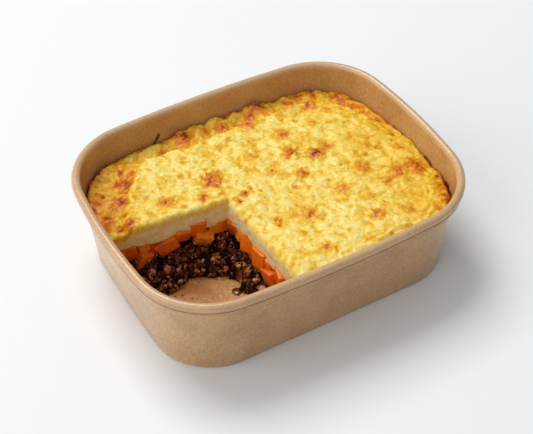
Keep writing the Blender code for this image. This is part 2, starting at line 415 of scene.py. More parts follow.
def gravy_finish():
    """A thin film of gravy and fat."""
    paint = Finish("gravy_film", 0.08, coat=0.6, coat_roughness=0.03)
    base = paint.ramp(paint.noise(1.8, detail=2.0), [
        (0.35, colour(84, 38, 12)), (0.65, colour(128, 68, 26))])
    paint.bump((paint.noise(2.5), 0.1))
    return paint.finish(base)


# ------------ making pieces

def new_piece(name, bm, material, slot, *replaced):
    """Scale a millimetre bmesh to metres, make it a smooth object and set it riding."""
    bmesh.ops.scale(bm, vec=(MM, MM, MM), verts=bm.verts)
    bmesh.ops.recalc_face_normals(bm, faces=bm.faces)
    mesh = bpy.data.meshes.new(name)
    bm.to_mesh(mesh)
    bm.free()
    mesh.shade_smooth()
    mesh.materials.append(material)
    piece = bpy.data.objects.new(name, mesh)
    bpy.context.scene.collection.objects.link(piece)
    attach(piece, "root")
    if replaced:
        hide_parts(*replaced)
    return piece


def new_verts(grown):
    """The vertices that an extrusion made."""
    return [item for item in grown["geom"] if isinstance(item, bmesh.types.BMVert)]


def new_edges(grown):
    """The edges among the vertices that an extrusion made."""
    made = set(new_verts(grown))
    return [item for item in grown["geom"]
            if isinstance(item, bmesh.types.BMEdge) and made.issuperset(item.verts)]


# ------------ tray

TRAY_TURNS = 224
BEAD_RADIUS = 2.1
BEAD_OUT = 1.7
LOBE_RADIUS = 1.25
LOBE_OUT = 1.9
LOBE_HEIGHT = 43.8
HEM_TOP = 3.7
HEM_WIDTH = 2.4
WALL_WAVE = 0.12
WALL_WAVE_LENGTH = 23.0
FLOOR_WAVE = 0.1
FLOOR_WAVE_LENGTH = 26.0


def arc_points(centre, radius, start, end, steps):
    """Points on an arc, with angles in degrees."""
    angles = [math.radians(mix(start, end, i / steps)) for i in range(steps + 1)]
    return [Vector(centre) + radius * Vector((math.cos(a), math.sin(a))) for a in angles]


def board_path():
    """Inset and height of the middle of the board, from the hem up the wall and round the rim."""
    half = BOARD / 2
    hem_bend = HEM_WIDTH / 2 - half
    wall_foot = hem_bend + half
    path = [Vector((HEM_WIDTH - half, HEM_TOP)), Vector((HEM_WIDTH - half, 2.4))]
    path += arc_points((wall_foot, wall_foot), hem_bend, 0, -90, 6)
    path += arc_points((wall_foot, wall_foot), hem_bend, -90, -180, 6)[1:]
    path += [Vector((half, z)) for z in (8.0, 15.0, 22.0, 29.0, 36.0, 41.0, 44.0)]
    bead_centre = (-BEAD_OUT, TRAY_HEIGHT - BEAD_RADIUS)
    path += arc_points(bead_centre, BEAD_RADIUS - half, -8, 223, 22)
    path += arc_points((-LOBE_OUT, LOBE_HEIGHT), LOBE_RADIUS - half, 145, 208, 8)
    path += [Vector((-1.5, 42.6)), Vector((-0.8, 41.6)), Vector((-0.36, 40.7))]
    return path


def board_profile():
    """Closed cross-section of the board: its path, offset by half the board to each side."""
    path = board_path()
    sides = ([], [])
    for before, here, after in zip(path[:1] + path, path, path[1:] + path[-1:]):
        along = (after - before).normalized()
        offset = Vector((-along.y, along.x)) * BOARD / 2
        sides[0].append(here + offset)
        sides[1].append(here - offset)
    return sides[0] + sides[1][::-1]


def make_tray_wall(material):
    """Sweep the cross-section round the tray, ring by ring, and weld the last ring to the first."""
    bm = bmesh.new()
    turn = bm.verts.layers.float.new("turn")
    ring = bmesh.ops.create_circle(bm, segments=TRAY_TURNS, radius=1.0)["verts"]
    for index, vert in enumerate(ring):
        vert[turn] = 4.0 * index / TRAY_TURNS
    profile = board_profile()
    edges = bm.edges[:]
    for index, station in enumerate(profile + profile[:1]):
        if index:
            grown = bmesh.ops.extrude_edge_only(bm, edges=edges)
            ring = new_verts(grown)
            edges = new_edges(grown)
        for vert in ring:
            place, out = outline(vert[turn], station.y, station.x)
            wave = WALL_WAVE * grain(place.x, place.y, WALL_WAVE_LENGTH, station.y / 30.0)
            vert.co = place + out * wave
    bmesh.ops.remove_doubles(bm, verts=bm.verts, dist=0.0001)
    return new_piece("tray_wall_board", bm, material, "tray_wall", "tray_wall")


def make_tray_base(material):
    """The floor panel, a little uneven, with its flange turned down into the hem."""
    outer = BOARD + FIT_GAP
    bm = food_grid(3.0, FLOOR_TOP, outer + 0.5)
    turn = bm.verts.layers.float["turn"]
    for vert in bm.verts:
        vert.co.z = FLOOR_TOP + FLOOR_WAVE * grain(vert.co.x, vert.co.y, FLOOR_WAVE_LENGTH, 2.0)
    edges = [edge for edge in bm.edges if edge.is_boundary]
    for inset, z in (
        (outer + 0.15, FLOOR_TOP - 0.15),
        (outer, FLOOR_TOP - 0.5),
        (outer, BOARD + FIT_GAP),
        (outer + BOARD, BOARD + FIT_GAP),
        (outer + BOARD, FLOOR_TOP - BOARD),
    ):
        grown = bmesh.ops.extrude_edge_only(bm, edges=edges)
        edges = new_edges(grown)
        for vert in new_verts(grown):
            vert.co = outline(vert[turn], z, inset)[0]
    bmesh.ops.triangle_fill(bm, use_beauty=True, edges=edges)
    return new_piece("tray_floor_board", bm, material, "tray_base", "tray_base")


# ------------ food layers

# Length and width that a food grid's pitch divides, in millimetres.
GRID_LENGTH = 146
GRID_WIDTH = 110


def square_turn(u, v):
    """Turn of a point on the edge of the square from -1 to 1, so that its corners meet the tray's."""
    a, b = abs(u), abs(v)
    if a >= b:
        share = b * CORNER_MIDDLE
    else:
        share = CORNER_MIDDLE + (1.0 - a) * (1.0 - CORNER_MIDDLE)
    if u >= 0:
        return share if v >= 0 else 4.0 - share
    return 2.0 - share if v >= 0 else 2.0 + share


def food_grid(pitch, level, inset):
    """A flat grid bent to the tray's outline. Each vertex knows its turn and how far in it lies."""
    bm = bmesh.new()
    turn = bm.verts.layers.float.new("turn")
    wall = bm.verts.layers.float.new("wall")
    gap = bm.verts.layers.float.new("gap")
    bmesh.ops.create_grid(
        bm, x_segments=round(GRID_LENGTH / pitch), y_segments=round(GRID_WIDTH / pitch), size=1.0)
    for vert in bm.verts:
        u, v = vert.co.x, vert.co.y
        reach = max(abs(u), abs(v))
        if reach < 1e-6:
            vert[gap] = 60.0
            continue
        vert[turn] = square_turn(u / reach, v / reach)
        edge, out = outline(vert[turn], level, inset)
        vert[wall] = 1.0 if reach > 0.99999 else 0.0
        vert[gap] = (1.0 - reach) * edge.dot(out)
        vert.co = Vector((edge.x * reach, edge.y * reach, 0.0))
    return bm


def cut_out_portion(bm, pitch, margin):
    """Cut the missing portion out of a grid, margin behind the cut faces."""
    corner = Vector((CUT_X + margin, CUT_Y + margin, 0.0))
    planes = (
        (Vector((BACK_FACE_SLOPE, 1.0, 0.0)).normalized(), lambda p: p.x < corner.x + pitch),
        (Vector((1.0, RIGHT_FACE_SLOPE, 0.0)).normalized(), lambda p: p.y < corner.y + pitch),
    )
    for normal, beside in planes:
        for vert in bm.verts:
            away = (vert.co - corner).dot(normal)
            if abs(away) < 0.4 * pitch and beside(vert.co):
                vert.co -= normal * away
        bmesh.ops.bisect_plane(
            bm, geom=bm.verts[:] + bm.edges[:] + bm.faces[:], dist=1e-4,
            plane_co=corner, plane_no=normal)
    gone = [face for face in bm.faces
            if all((face.calc_center_median() - corner).dot(normal) < 0 for normal, _ in planes)]
    bmesh.ops.delete(bm, geom=gone, context="FACES")


def drop_sides(bm, steps, inset, bottom, ragged):
    """Extrude the outer edge down to bottom(x, y), along the tray's wall or down the cut faces."""
    turn = bm.verts.layers.float["turn"]
    wall = bm.verts.layers.float["wall"]
    top = bm.verts.layers.float.new("top")
    edges = [edge for edge in bm.edges if edge.is_boundary]
    for vert in {vert for edge in edges for vert in edge.verts}:
        vert[top] = vert.co.z
    for step in range(1, steps + 1):
        grown = bmesh.ops.extrude_edge_only(bm, edges=edges)
        edges = new_edges(grown)
        for vert in new_verts(grown):
            z = mix(vert[top], bottom(vert.co.x, vert.co.y), step / steps)
            if vert[wall] > 0.999:
                vert.co = outline(vert[turn], z, inset)[0]
            else:
                vert.co.z = z
    rough = [vert for vert in bm.verts
             if vert[wall] < 0.999 and vert[top] > 0 and vert.co.z < vert[top] - 1e-4]
    for vert in rough:
        push = Vector((grain_3d(vert.co, 3.2, 4.0), grain_3d(vert.co, 3.2, 9.0), 0.0))
        fine = Vector((grain_3d(vert.co, 1.1, 14.0), grain_3d(vert.co, 1.1, 19.0), 0.0))
        vert.co += ragged * (push + 0.35 * fine)
    bmesh.ops.triangle_fill(bm, use_beauty=True, edges=edges)


# ------------ mashed potato

MASH_PITCH = 0.46
MASH_BOTTOM_AT_CUT = 24.2
SWELL_HEIGHT = 1.1
SWELL_LENGTH = 15.0
CORNER_RISE = 1.4
EDGE_DROP = 2.6
EDGE_REACH = 7.0
LEDGE_WIDTH = 15.5
LEDGE_DROP = 4.2
LEDGE_BLEND = 3.0
LEDGE_LEFT_END = -76.0
LEDGE_FRONT_END = -6.0
LEDGE_FADE = 50.0
LEFT_DROP = 3.4
BACK_EDGE_RADIUS = 2.0
RIGHT_EDGE_RADIUS = 4.4

# Where the grill caught the mash: x, y, radius of the blister, how dark it is.
BLISTERS = (
    (26, 31, 2.6, 0.85), (22, 17, 2.6, 0.9), (33, 11, 3.2, 0.92), (40, 13, 2.6, 0.75),
    (5, 24, 2.6, 0.6), (8, 10, 1.8, 0.7), (20, 2, 2.0, 0.9), (43, 31, 2.0, 0.65),
    (47, -10, 2.6, 0.85), (47, -6, 2.0, 0.6), (30, -17, 2.6, 0.75), (8, -24, 3.0, 0.75),
    (57, 3, 2.0, 0.7), (40, -28, 1.9, 0.6), (-11, 3, 1.4, 0.9), (-6, -21, 1.8, 0.6),
    (74, 19, 2.5, 0.9), (-16, 56, 3.2, 1.0), (-20, 48, 2.4, 0.75), (-55, 40, 3.3, 0.95),
    (-63, 29, 3.3, 1.0), (-20, 19, 3.6, 1.0), (-29, 10, 1.9, 0.9), (-45, 16, 2.9, 0.85),
    (-40, 29, 1.8, 0.5), (-73, 35, 1.7, 1.0), (-73, 22, 2.6, 0.95), (-75, 27, 1.9, 0.9),
    (-66, 12, 2.3, 0.95), (-55, 13, 1.8, 0.5), (-6, 38, 1.7, 0.6), (-50, 48, 3.0, 0.45),
    (-55, 55, 2.4, 0.8), (-68, 40, 2.2, 0.5), (69, -5, 2.0, 0.65), (69, -21, 3.8, 0.95),
    (60, -20, 3.8, 0.8), (52, -23, 2.2, 0.85), (36, -40, 2.7, 0.8), (50, -44, 2.4, 0.7),
    (71, -45, 2.4, 0.95), (74, -38, 2.2, 1.0), (75, -31, 1.6, 0.95), (27, 58, 3.0, 1.1),
    (3, -46, 1.8, 0.7), (37, 49, 2.8, 0.8), (50, 45, 3.0, 0.9), (15, 48, 3.2, 1.05),
    (5, 53, 3.0, 0.95), (-4, 55, 2.4, 0.8), (20, 54, 2.6, 0.9),
)
# Where the mash climbed up the back wall: x, y, radius, rise.
WALL_LUMPS = (
    (27, 60, 7.0, 2.6), (14, 60, 5.0, 2.0), (4, 60, 6.0, 3.4), (-8, 60, 5.0, 2.2), (-17, 59, 5.0, 2.8),
    (44, 57, 5.0, 1.4), (-30, 58, 4.0, 1.2),
)
# Broad golden patches: x, y, radius, how golden.
GOLDEN_PATCHES = (
    (10, -11, 2.8, 0.34), (1, -20, 2.8, 0.4), (54, 10, 3.2, 0.4), (33, 22, 3.0, 0.4),
    (-13, 37, 2.4, 0.4), (67, 16, 3.0, 0.42), (54, -34, 3.6, 0.42), (68, -36, 3.6, 0.42),
    (58, -44, 3.0, 0.45), (72, 11, 3.4, 0.45), (-70, 30, 7.0, 0.3), (-68, 15, 6.0, 0.32),
    (-62, 47, 6.0, 0.28), (46, 38, 5.0, 0.25), (63, -27, 7.0, 0.3),
)
SMALL_SPOTS = 170
BLISTER_SPREAD = 1.2


def grill_spots():
    """All browned spots: a search tree of their places and a list of (radius, dark, bubbled)."""
    draw = random.Random(7)
    places = [(x, y, 0.0) for x, y, *_ in BLISTERS + GOLDEN_PATCHES]
    spots = [(radius, dark, True) for _, _, radius, dark in BLISTERS]
    spots += [(radius, dark, False) for _, _, radius, dark in GOLDEN_PATCHES]
    for _ in range(SMALL_SPOTS):
        places.append((draw.uniform(-78, 78), draw.uniform(-60, 60), 0.0))
        spots.append((draw.uniform(0.5, 1.3), draw.uniform(0.45, 0.85), False))
    tree = kdtree.KDTree(len(places))
    for index, place in enumerate(places):
        tree.insert(place, index)
    tree.balance()
    return tree, spots


def ledge_share(x, y, gap):
    """1 on the lower ledge along the back, which narrows to the left and round the right corner."""
    width = LEDGE_WIDTH * smooth_step((x - LEDGE_LEFT_END) / LEDGE_FADE)
    width *= smooth_step((y - LEDGE_FRONT_END) / LEDGE_FADE)
    return smooth_step((width + 1.6 * grain(x, y, 9.0, 3.3) - gap) / LEDGE_BLEND)


def left_slope(x, y):
    """1 where the plateau has sunk towards the left wall, in a band that widens to the back."""
    crest = -70.0 + 0.25 * y + 0.0075 * y * y + 1.8 * grain(x, y, 8.0, 4.4)
    return smooth_step((crest - x) / 5.5) * smooth_step((y + 8.0) / 14.0)


def cut_rounding(x, y):
    """How far the knife and spoon dragged the mash down at the top edge of a cut face."""
    back = y - back_face(x)
    right = x - right_face(y)
    if back > 0 and right > 0:
        behind = math.hypot(back, right)
        radius = mix(BACK_EDGE_RADIUS, RIGHT_EDGE_RADIUS, right / (back + right))
    else:
        behind = max(back, right)
        radius = RIGHT_EDGE_RADIUS if right > back else BACK_EDGE_RADIUS
    short = max(radius - max(behind, 0.0), 0.0)
    return radius - math.sqrt(radius * radius - short * short)


def crevice_depth(turn):
    """How far the mash shrank down at the wall: most in the back-left and front-right corners."""
    back_left = smooth_step(1.3 - abs(turn - 1.66) / 0.3)
    front_right = smooth_step(1.3 - abs(turn - 3.6) / 0.26)
    ragged = max(0.4 + noise.noise(Vector((turn * 16.0, 3.0, 0.0))), 0.0)
    return (0.5 + 1.4 * ragged) * (1.0 + 1.6 * max(back_left, front_right))


def spoon_ridges(x, y, gap):
    """Ridges that the spoon left beside the front wall, towards the right."""
    band = smooth_step((14.0 - gap) / 4.0) * smooth_step((-24.0 - y) / 10.0)
    band *= smooth_step((x - 4.0) / 16.0) * smooth_step((72.0 - x) / 10.0)
    drift = 5.0 * grain(x, y, 16.0, 8.0) + 1.6 * grain(x, y, 5.0, 18.0)
    return band * math.sin(gap * 1.7 + drift) * max(0.4 + 1.3 * grain(x, y, 7.0, 28.0), 0.0)


def mash_surface(x, y, gap, turn, tree, spots):
    """Height of the mash's top, and from 0 to 1 how toasted it is, with painted shade added in the hollows,
    on the ledge and on the left band.
    """
    ledge = ledge_share(x, y, gap)
    left = left_slope(x, y) * (1.0 - ledge)
    edge = math.exp(-(gap / EDGE_REACH) ** 2) * (1.0 - ledge)
    z = MASH_CROWN - EDGE_DROP * edge - LEDGE_DROP * ledge + SWELL_HEIGHT * grain(x, y, SWELL_LENGTH, 1.0)
    z -= LEFT_DROP * left * (1.0 - edge)
    if ledge > 0:
        z += sum(rise * math.exp(-((x - cx) ** 2 + (y - cy) ** 2) / (0.6 * radius * radius))
                 for cx, cy, radius, rise in WALL_LUMPS)
    z += CORNER_RISE * math.exp(-((x - CUT_X) ** 2 + (y - CUT_Y) ** 2) / 60.0)

    # Lumps, curds, ridges and grain of forked potato, rougher on the ledge and at the edges.
    wx = x + 2.4 * grain(x, y, 7.0, 31.0)
    wy = y + 2.4 * grain(x, y, 7.0, 37.0)
    curds = grain(wx, wy, 4.0, 12.0)
    ridges = 1.0 - 2.0 * abs(grain(wx, 1.3 * wy, 5.4, 21.0))
    wrinkles = grain(wx, 1.5 * wy, 2.1, 33.0)
    fine = grain(x, y, 1.1, 40.0)
    rough = 1.0 + 0.7 * max(ledge, left, math.exp(-(gap / 5.0) ** 2))
    z += rough * (0.6 * grain(x, y, 8.5, 5.0) + 0.62 * curds + 0.2 * ridges + 0.2 * wrinkles)
    crumb = noise.voronoi(Vector((wx / 1.9, wy / 1.9, 2.0)))[0][0]
    z += 0.26 * (0.45 - crumb) * rough + 0.08 * fine + 0.6 * spoon_ridges(x, y, gap)

    # The thin gap where the mash shrank from the wall.
    depth = crevice_depth(turn)
    crevice = math.exp(-(gap / (0.5 + 0.3 * depth)) ** 2)
    z -= depth * crevice

    # Painted shade: the curd hollows and the low crumb edges get a deeper gold; the other terms here are
    # random browning.
    hollow = -curds - 0.6 * wrinkles
    toast_and_shade = 0.02 + 0.05 * grain(x, y, 13.0, 60.0) + 0.18 * smooth_step((hollow - 0.08) / 0.45)
    toast_and_shade += 0.15 * smooth_step((grain(wx, wy, 5.0, 50.0) - 0.15) / 0.3)
    toast_and_shade += 0.08 * smooth_step((crumb - 0.38) / 0.3)
    # Painted shade: the low ledge by the back wall is made more golden all over, standing for the wall's
    # shadow; the patches on it are browning.
    toast_and_shade += ledge * (0.14 + 0.25 * smooth_step(grain(x, y, 6.5, 52.0) / 0.3))
    # Painted shade: the left band, turned away from the light, is made more golden all over; the patches on
    # it are browning.
    toast_and_shade += left * (0.2 + 0.3 * smooth_step(grain(wx, wy, 4.0, 53.0) / 0.3))
    toast_and_shade += 0.06 * smooth_step((-40 - x) / 18.0) + 0.12 * smooth_step((x - 30.0) / 34.0)
    toast_and_shade += 0.2 * smooth_step((3.5 - gap) / 3.5) * (0.8 + grain(x, y, 5.0, 70.0))
    for _, index, distance in tree.find_range((x, y, 0.0), 9.0):
        radius, dark, bubbled = spots[index]
        bend = 1.0 + 0.7 * grain(x, y, 2.6, 80.0 + index) + 0.4 * wrinkles + 0.4 * fine
        t = distance / (BLISTER_SPREAD * radius * max(bend, 0.2))
        if t > 2.4:
            continue
        core = smooth_step((1.0 - t) / 0.8)
        halo = smooth_step((2.2 - t) / 1.5)
        toast_and_shade = max(toast_and_shade, dark * (0.61 * halo + 0.36 * core * (0.85 - 1.2 * curds + fine - crumb)))
        if bubbled:
            z += dark * core * (0.5 + 0.8 * grain(x, y, 1.3, 90.0))
    burnt = smooth_step((depth - 1.6) / 1.8)
    toast_and_shade = max(toast_and_shade, (0.45 + 0.5 * burnt) * crevice)
    toast_and_shade = max(toast_and_shade, 0.8 * burnt * smooth_step((3.2 - gap) / 2.0) * (0.75 + curds))
    return z, min(max(toast_and_shade, 0.0), 1.0)


def mash_bottom(x, y):
    """Height of the mash's underside: it rides up on the carrots at the left and front walls."""
    near_wall = CARROT_WALL_RISE * smooth_step((-52.0 - x) / 24.0)
    near_front = CARROT_WALL_RISE * smooth_step((-28.0 - y) / 24.0)
    return MASH_BOTTOM_AT_CUT + max(near_wall, near_front) + 1.0 * grain(x, y, 6.0, 6.0)


def make_mash(material):
    """The mash layer: a fine grid shaped by mash_surface, with its cut faces and sides."""
    bm = food_grid(MASH_PITCH, MASH_CROWN - 2.0, BOARD)
    cut_out_portion(bm, MASH_PITCH, 0.0)
    toast_and_shade = bm.verts.layers.float.new("toast_and_shade")
    depth = bm.verts.layers.float.new("depth")
    turn = bm.verts.layers.float["turn"]
    gap = bm.verts.layers.float["gap"]
    wall = bm.verts.layers.float["wall"]
    tree, spots = grill_spots()
    for vert in bm.verts:
        x, y, _ = vert.co
        z, vert[toast_and_shade] = mash_surface(x, y, vert[gap], vert[turn], tree, spots)
        vert[depth] = cut_rounding(x, y)
        vert.co.z = z - vert[depth]
        if vert[wall] > 0.999:
            vert.co = outline(vert[turn], z, BOARD)[0]
    drop_sides(bm, 16, BOARD, mash_bottom, 0.35)
    top = bm.verts.layers.float["top"]
    for vert in bm.verts:
        below = vert[top] - vert.co.z if vert[top] > 0 else 0.0
        if below > 1e-3:
            vert[depth] += below
            vert[toast_and_shade] = mix(vert[toast_and_shade], 0.27, 0.7)
    return new_piece("mashed_potato", bm, material, "mash", "mash_layer")


# ------------ carrots

# Dice along the back cut face, seen from the cut: x, height, width, tallness, turn in degrees
# and how far the die stands out.
BACK_DICE = (
    (-74.0, 19.6, 7.0, 8.0, 12, 0.2), (-69.0, 22.2, 8.2, 9.0, 14, 0.4), (-62.4, 16.6, 9.2, 8.2, -22, 2.2),
    (-62.6, 22.6, 4.8, 5.4, 30, 0.2), (-50.9, 20.6, 10.6, 7.4, 22, 1.8), (-43.2, 24.0, 8.6, 8.4, -14, 0.3),
    (-35.1, 25.0, 7.8, 8.8, -4, 0.5), (-32.7, 18.6, 9.0, 6.6, -24, 2.2), (-26.0, 23.0, 7.2, 8.4, -9, 0.3),
    (-22.0, 22.4, 4.6, 7.6, 5, 0.2), (-56.6, 20.0, 5.0, 4.6, -30, -0.6),
)
# Dice along the right cut face, in the same way from front to back: y in place of x.
RIGHT_DICE = (
    (-1.0, 23.6, 7.0, 8.6, -4, 0.5), (-7.1, 22.6, 6.0, 6.6, 16, 0.4), (-14.6, 23.6, 8.6, 9.4, 20, 1.5),
    (-19.4, 18.0, 7.4, 7.0, -12, 0.9), (-25.4, 22.4, 9.0, 9.2, 9, 2.6), (-30.6, 23.4, 6.6, 7.6, -12, 0.9),
    (-24.4, 14.2, 6.2, 5.6, 30, 0.8), (-34.6, 18.8, 8.4, 8.6, 17, 2.5), (-41.4, 23.4, 7.4, 8.2, -8, 1.3),
    (-47.5, 21.0, 7.6, 8.0, 10, 0.8),
)


def add_die(bm, draw, place, out, lean, width, tallness, spin, proud):
    """One uneven die of carrot, proud of the cut face that looks in the direction out."""
    tone = bm.verts.layers.float["tone"]
    long = draw.uniform(7.0, 9.0)
    along = Vector((0, 0, 1)).cross(out)
    facing = Matrix((along, (0, 0, 1), out)).transposed().to_4x4()
    tilt = draw.uniform(-lean, lean), draw.uniform(-lean, lean), math.radians(spin)
    spun = Euler(tilt).to_matrix()
    centre = place - out * (long / 2 - proud)
    shape = Matrix.Diagonal((width, tallness, long, 1.0))
    cube = bmesh.ops.create_cube(
        bm, size=1.0, matrix=Matrix.Translation(centre) @ facing @ spun.to_4x4() @ shape)["verts"]
    size = min(width, tallness)
    for vert in cube:
        vert.co += Vector([draw.uniform(-0.09, 0.09) * size for _ in range(3)])
    edges = list({edge for vert in cube for edge in vert.link_edges})
    rounded = bmesh.ops.bevel(
        bm, geom=edges, offset=0.08 * size, segments=3, profile=0.5, affect="EDGES", material=-1)
    shade = draw.random()
    for vert in {vert for face in rounded["faces"] for vert in face.verts}:
        vert[tone] = shade
        vert.co += 0.3 * Vector([grain_3d(vert.co, 3.0, seed) for seed in (1.0, 2.0, 3.0)])


def make_carrot_dice(material):
    """The dice that show at the two cut faces."""
    draw = random.Random(21)
    bm = bmesh.new()
    bm.verts.layers.float.new("tone")
    back_out = Vector((-BACK_FACE_SLOPE, -1.0, 0.0)).normalized()
    right_out = Vector((-1.0, -RIGHT_FACE_SLOPE, 0.0)).normalized()
    for x, height, *shape in BACK_DICE:
        add_die(bm, draw, Vector((x, back_face(x), height)), back_out, 0.24, *shape)
    for y, height, *shape in RIGHT_DICE:
        add_die(bm, draw, Vector((right_face(y), y, height)), right_out, 0.34, *shape)
    return new_piece("carrot_dice", bm, material, "carrot", "carrot_layer")


def make_carrot_core(material):
    """The rest of the carrot layer, dark with gravy where it shows between the dice."""
    bm = food_grid(2.2, CARROT_TOP, BOARD + 0.4)
    cut_out_portion(bm, 2.2, 4.0)
    bm.verts.layers.float.new("tone")
    for vert in bm.verts:
        vert.co.z = CARROT_TOP - 1.2 + 0.8 * grain(vert.co.x, vert.co.y, 8.0, 5.0)
    drop_sides(bm, 6, BOARD + 0.4, lambda x, y: MINCE_TOP - 1.5, 0.8)
    return new_piece("carrot_core", bm, material, "carrot")


# ------------ mince

SPILL_TOP = 16.4
SPILL_BACK = 13.2
SPILL_RIGHT = 8.8
SPILL_ROUNDNESS = 1.7
BACK_WAVE = 2.4
BACK_WAVE_LENGTH = 26.0
BACK_WAVE_START = -57.0
RIGHT_WAVE = 2.0
RIGHT_WAVE_LENGTH = 9.8
RIGHT_WAVE_START = -14.0
SPILL_WALL_EXTRA = 4.0
SPILL_WALL_START = -56.0
SPILL_WALL_FADE = 16.0
# Clumps that stand up from the slope: x, y, radius, height.
CLUMPS = (
    (-29.5, -21.5, 3.6, 2.6), (-25.0, -29.0, 3.4, 2.4), (-25.5, -12.0, 3.0, 1.6), (-58.0, -12.0, 4.0, 1.6),
    (-49.0, -7.0, 3.4, 1.4), (-40.0, -3.5, 3.0, 1.4), (-66.0, -10.0, 4.0, 1.2), (-34.5, -6.0, 3.0, 1.2),
)
# Loose crumbs on the slope: pitch, least clumping, smallest and largest radius.
CRUMB_TIERS = ((2.6, -1.0, 0.4, 0.8), (3.1, -0.25, 0.8, 1.4), (4.2, -0.1, 1.6, 2.6))
LARGE_CRUMB = 1.5
FLOOR_CRUMBS = 22
CRUMB_BATCH = 24


def spill_height(x, y):
    """Height of the mince that slid out: it runs down to the floor from both cut faces."""
    back_wave = BACK_WAVE * math.cos(2 * math.pi * (x - BACK_WAVE_START) / BACK_WAVE_LENGTH)
    right_wave = RIGHT_WAVE * math.cos(2 * math.pi * (y - RIGHT_WAVE_START) / RIGHT_WAVE_LENGTH)
    near_wall = SPILL_WALL_EXTRA * smooth_step((SPILL_WALL_START - x) / SPILL_WALL_FADE)
    back = (back_face(x) - y) / (SPILL_BACK + back_wave + near_wall)
    right = (right_face(y) - x) / (SPILL_RIGHT + right_wave)
    rises = [1.0 - max(step, 0.0) ** SPILL_ROUNDNESS for step in (back, right)]
    return FLOOR_TOP + (SPILL_TOP - FLOOR_TOP) * max(rises)


def clumping(x, y):
    """Above 0 where the mince hangs together in a clump, below 0 in the hollows between."""
    return grain(x, y, 5.5, 2.0) + 0.3 * grain(x, y, 2.6, 9.0)


def mince_height(x, y):
    """Height of the mince with its clumps and coarse crumbs."""
    z = spill_height(x, y)
    if z < FLOOR_TOP:
        return z
    for cx, cy, radius, rise in CLUMPS:
        z += rise * math.exp(-((x - cx) ** 2 + (y - cy) ** 2) / (0.6 * radius * radius))
    return z + 2.2 * clumping(x, y) + 0.7 * grain(x, y, 1.5, 7.0) - 0.8


def mince_lumps(x, y):
    """1 on the rounded lumps of the mince and 0 in the dark gaps between them."""
    wx = x + 1.2 * grain(x, y, 2.4, 71.0)
    wy = y + 1.2 * grain(x, y, 2.4, 77.0)
    total = 0.0
    for size, share in ((3.2, 0.62), (1.5, 0.38)):
        near = noise.voronoi(Vector((wx / size, wy / size, 5.0 + size)))[0]
        total += share * smooth_step((near[1] - near[0]) / 0.45)
    return total


def inside_wall(x, y, z, inset):
    """True for a point that is at least inset inside the wall's outer face."""
    length, width, corner, side_bow, end_bow = tray_sizes(z)
    radius = corner - inset
    over_x = abs(x) - (length / 2 - end_bow * (2 * y / width) ** 2 - corner)
    over_y = abs(y) - (width / 2 - side_bow * (2 * x / length) ** 2 - corner)
    reach = math.hypot(max(over_x, 0.0), max(over_y, 0.0)) + min(max(over_x, over_y), 0.0)
    return reach < radius


def make_mince_core(material):
    """The body of the mince, from the floor up to the loose crumbs, fine where it shows."""
    bm = food_grid(1.8, MINCE_TOP / 2, BOARD + 0.6)
    bm.verts.layers.float.new("tone")
    shown = [edge for edge in bm.edges if all(in_portion(*vert.co.xy, -2.5) for vert in edge.verts)]
    bmesh.ops.subdivide_edges(bm, edges=shown, cuts=4, use_grid_fill=True)
    tone = bm.verts.layers.float["tone"]
    for vert in bm.verts:
        x, y, _ = vert.co
        lumps = mince_lumps(x, y)
        vert.co.z = mince_height(x, y) + 1.8 * (lumps - 0.4)
        # Painted light and shade: raised lumps and clumps get a paler tone, the gaps between them a darker
        # one.
        vert[tone] = lumps + 0.7 * clumping(x, y) - 0.2 if in_portion(x, y, -1.0) else 0.0
    bare = [face for face in bm.faces if min(vert.co.z for vert in face.verts) < FLOOR_TOP + 0.3]
    bmesh.ops.delete(bm, geom=bare, context="FACES")
    drop_sides(bm, 3, BOARD + 0.6, lambda x, y: FLOOR_TOP + 0.05, 0.3)
    return new_piece("mince_core", bm, material, "mince", "mince_layer")


def spill_sites(draw, pitch, sparse):
    """Loosely staggered places on the slope, left out where it clumps less than sparse."""
    sites = []
    for row in range(round(62 / pitch)):
        for column in range(round(64 / pitch)):
            x = -78.0 + pitch * (column + 0.5 * (row % 2) + draw.uniform(-0.45, 0.45))
            y = -52.0 + pitch * (row + draw.uniform(-0.45, 0.45))
            z = mince_height(x, y)
            if in_portion(x, y, -1.4) and z > FLOOR_TOP + 0.3 and clumping(x, y) > sparse:
                sites.append(Vector((x, y, z)))
    return sites


def add_crumb(bm, draw, centre, radius):
    """One craggy crumb: a few lumps grown together, paler on top than below, partly drier browned mince and
    partly painted top light; outer crags are painted lighter and hollows darker.
    """
    tone = bm.verts.layers.float["tone"]
    # Painted light: crumbs on raised clumps get a paler tone, on top of a random one.
    shade = draw.random() + 0.7 * clumping(centre.x, centre.y)
    clump = radius > LARGE_CRUMB
    for lump in range(6 if clump else draw.choice((1, 2, 2, 3))):
        shift = Vector([draw.uniform(-0.85, 0.85) * radius * (1 if lump or clump else 0) for _ in range(3)])
        turned = Euler([draw.uniform(0, math.tau) for _ in range(3)])
        shape = Vector([radius * draw.uniform(0.4, 1.15) * (0.6 if clump else 0.9) for _ in range(3)])
        place = Matrix.LocRotScale(centre + shift, turned, shape)
        verts = bmesh.ops.create_icosphere(bm, subdivisions=2, radius=1.0, matrix=place)["verts"]
        seed = draw.uniform(0, 50)
        for vert in verts:
            away = vert.co - centre - shift
            crag = grain_3d(vert.co, 0.9 * radius, seed) + 0.6 * grain_3d(vert.co, 0.4 * radius, seed)
            # Painted light and shade: paler on top and on outer crags, darker below and in hollows, over the
            # crumb's random tone.
            vert[tone] = 0.55 * shade + 0.4 * (vert.co.z - centre.z) / radius + 0.5 * crag
            vert.co += away * crag
            vert.co.z = max(vert.co.z, FLOOR_TOP + 0.02)


